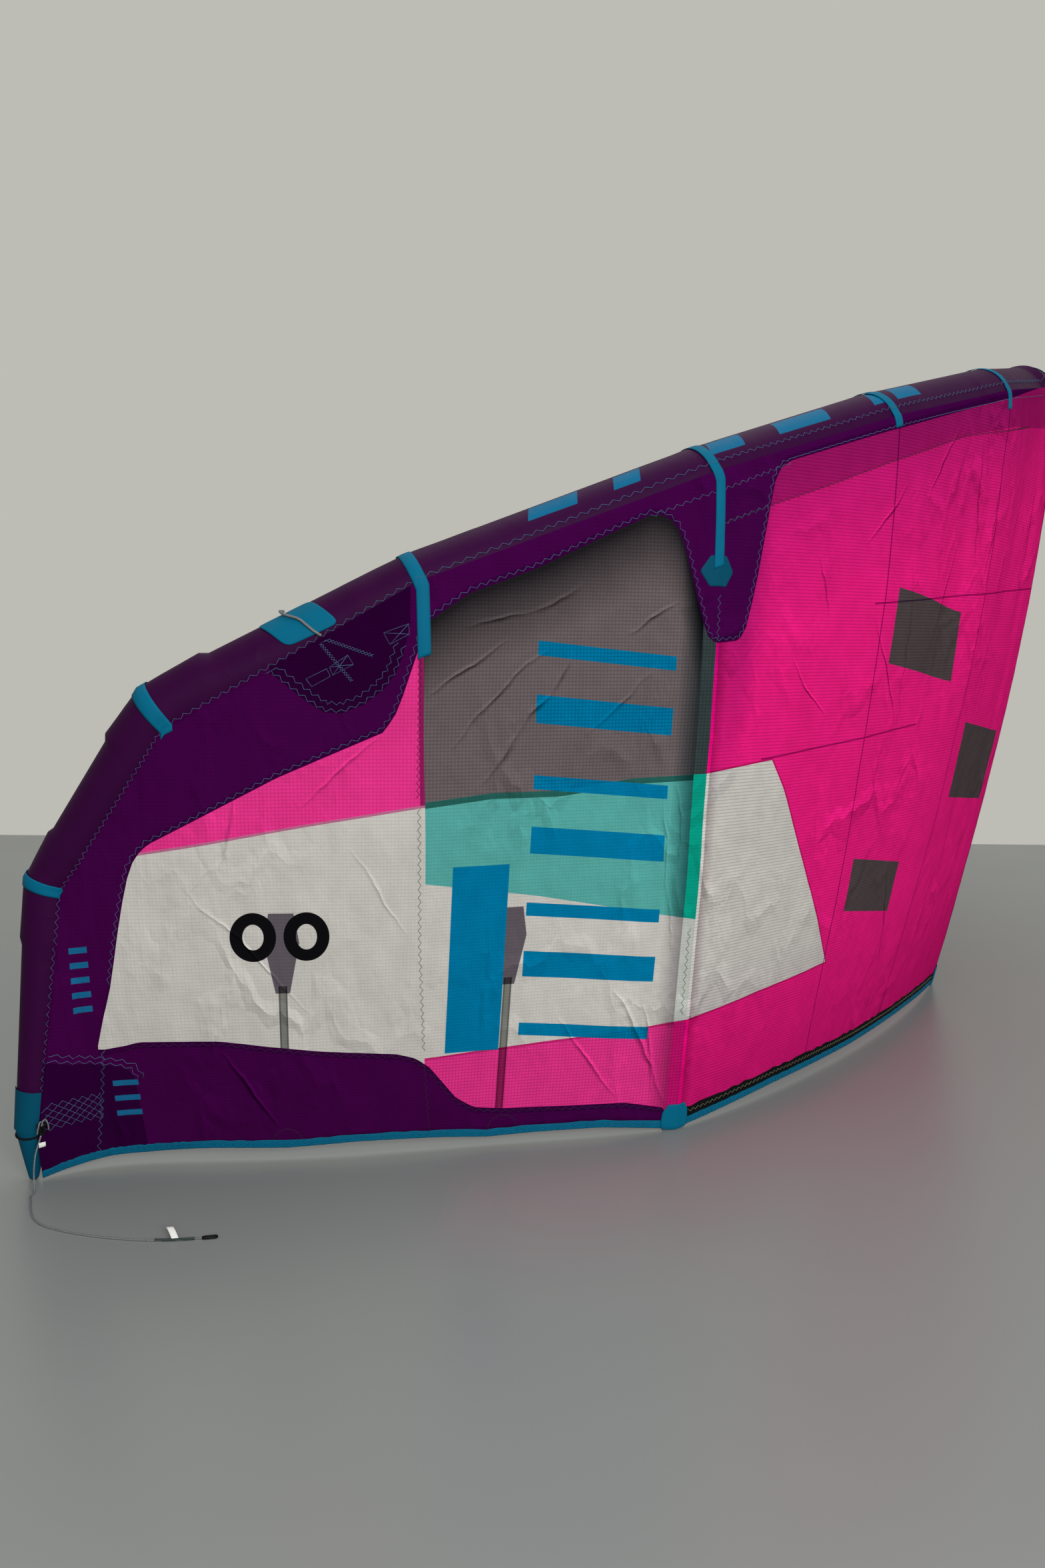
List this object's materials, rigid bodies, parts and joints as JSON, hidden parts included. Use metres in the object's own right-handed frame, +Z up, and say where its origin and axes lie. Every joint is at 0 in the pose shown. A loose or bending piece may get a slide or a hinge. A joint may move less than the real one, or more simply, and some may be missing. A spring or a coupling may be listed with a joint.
{
  "type": "kitesurfing kite",
  "caption": "Inflatable kitesurfing kite standing on its trailing edge, with a tubular leading edge, struts, sewn canopy panels and a loose line at one wing tip.",
  "frame": {"origin": "on the floor under the middle of the kite's box, the free line left out", "axes": "+Z up, +X from the left wing tip to the right one, and -Y towards the bulging front of the middle; both wing tips point to +Y"},
  "size_m": [4.2908, 1.9286, 1.8391],
  "materials": {
    "tubeCloth": "satin woven polyester",
    "strutCloth": "satin woven polyester",
    "pinkCloth": "ripstop with a slight sheen",
    "greyCloth": "ripstop with a slight sheen",
    "whiteCloth": "ripstop with a slight sheen",
    "tealTape": "stitched webbing",
    "blackTape": "dull tape",
    "battenCloth": "satin woven polyester",
    "lineCord": "braided cord"
  },
  "bodies": {
    "root": {"battenPocket-1-left": "battenCloth", "battenPocket-1-right": "battenCloth", "battenPocket-2-left": "battenCloth", "battenPocket-2-right": "battenCloth", "blackTape-left": "blackTape", "blackTape-right": "blackTape", "bridlePatch-left": "tealTape", "bridlePatch-right": "tealTape", "canopy-inner-left": "pinkCloth", "canopy-inner-right": "pinkCloth", "canopy-middle-left": "pinkCloth", "canopy-middle-right": "pinkCloth", "canopy-outer-left": "greyCloth", "canopy-outer-right": "greyCloth", "canopy-strut-left": "pinkCloth", "canopy-strut-right": "pinkCloth", "canopy-tip-left": "whiteCloth", "canopy-tip-right": "whiteCloth", "edgeBinding-left": "tealTape", "edgeBinding-right": "tealTape", "freeLine": "lineCord", "freeLineEnd": "blackTape", "jointStrap-1-left": "tealTape", "jointStrap-1-right": "tealTape", "jointStrap-2-left": "tealTape", "jointStrap-2-right": "tealTape", "jointStrap-3-left": "tealTape", "jointStrap-3-right": "tealTape", "jointStrap-4-left": "tealTape", "jointStrap-4-right": "tealTape", "jointStrap-5-left": "tealTape", "jointStrap-5-right": "tealTape", "jointStrap-6-left": "tealTape", "jointStrap-6-right": "tealTape", "jointStrap-middle": "tealTape", "leadingEdge-1-left": "tubeCloth", "leadingEdge-1-right": "tubeCloth", "leadingEdge-2-left": "tubeCloth", "leadingEdge-2-right": "tubeCloth", "leadingEdge-3-left": "tubeCloth", "leadingEdge-3-right": "tubeCloth", "leadingEdge-4-left": "tubeCloth", "leadingEdge-4-right": "tubeCloth", "leadingEdge-5-left": "tubeCloth", "leadingEdge-5-right": "tubeCloth", "leadingEdge-6-left": "tubeCloth", "leadingEdge-6-right": "tubeCloth", "leadingEdge-7-left": "tubeCloth", "leadingEdge-7-right": "tubeCloth", "strut-middle": "strutCloth", "strut-side-left": "strutCloth", "strut-side-right": "strutCloth", "strutFoot-middle": "tealTape", "strutFoot-side-left": "tealTape", "strutFoot-side-right": "tealTape", "tipCap-left": "tealTape", "tipCap-right": "tealTape", "tipKnot-left": "blackTape", "tipKnot-right": "blackTape"}
  },
  "joints": []
}
